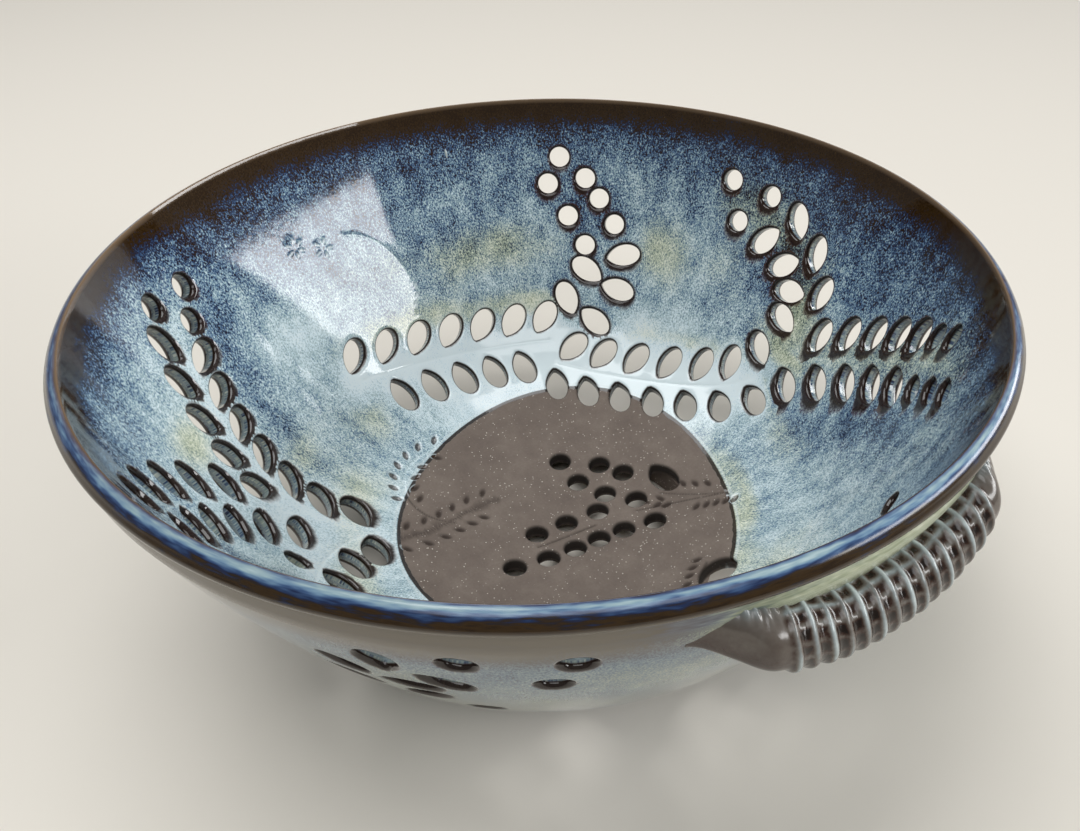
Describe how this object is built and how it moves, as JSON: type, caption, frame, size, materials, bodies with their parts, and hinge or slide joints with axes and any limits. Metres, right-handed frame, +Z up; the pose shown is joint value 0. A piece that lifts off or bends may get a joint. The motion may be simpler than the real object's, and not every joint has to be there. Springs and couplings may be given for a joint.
{
  "type": "colander bowl",
  "caption": "Round footed stoneware berry colander with leaf-shaped and round drain holes in curling fronds and a ribbed lug handle on each side.",
  "frame": {"origin": "middle of the foot ring, on the table", "axes": "+Z up along the bowl's axis, +X out through the middle of one handle, the other handle on -X"},
  "size_m": [0.2602, 0.2492, 0.1113],
  "materials": {
    "glazed_stoneware": "glossy mottled blue and cream glaze, breaking brown at edges",
    "bare_stoneware": "matt, speckled"
  },
  "bodies": {
    "root": {"bowl": "glazed_stoneware", "foot_ring": "bare_stoneware", "handle_right": "glazed_stoneware", "handle_left": "glazed_stoneware"}
  },
  "joints": []
}
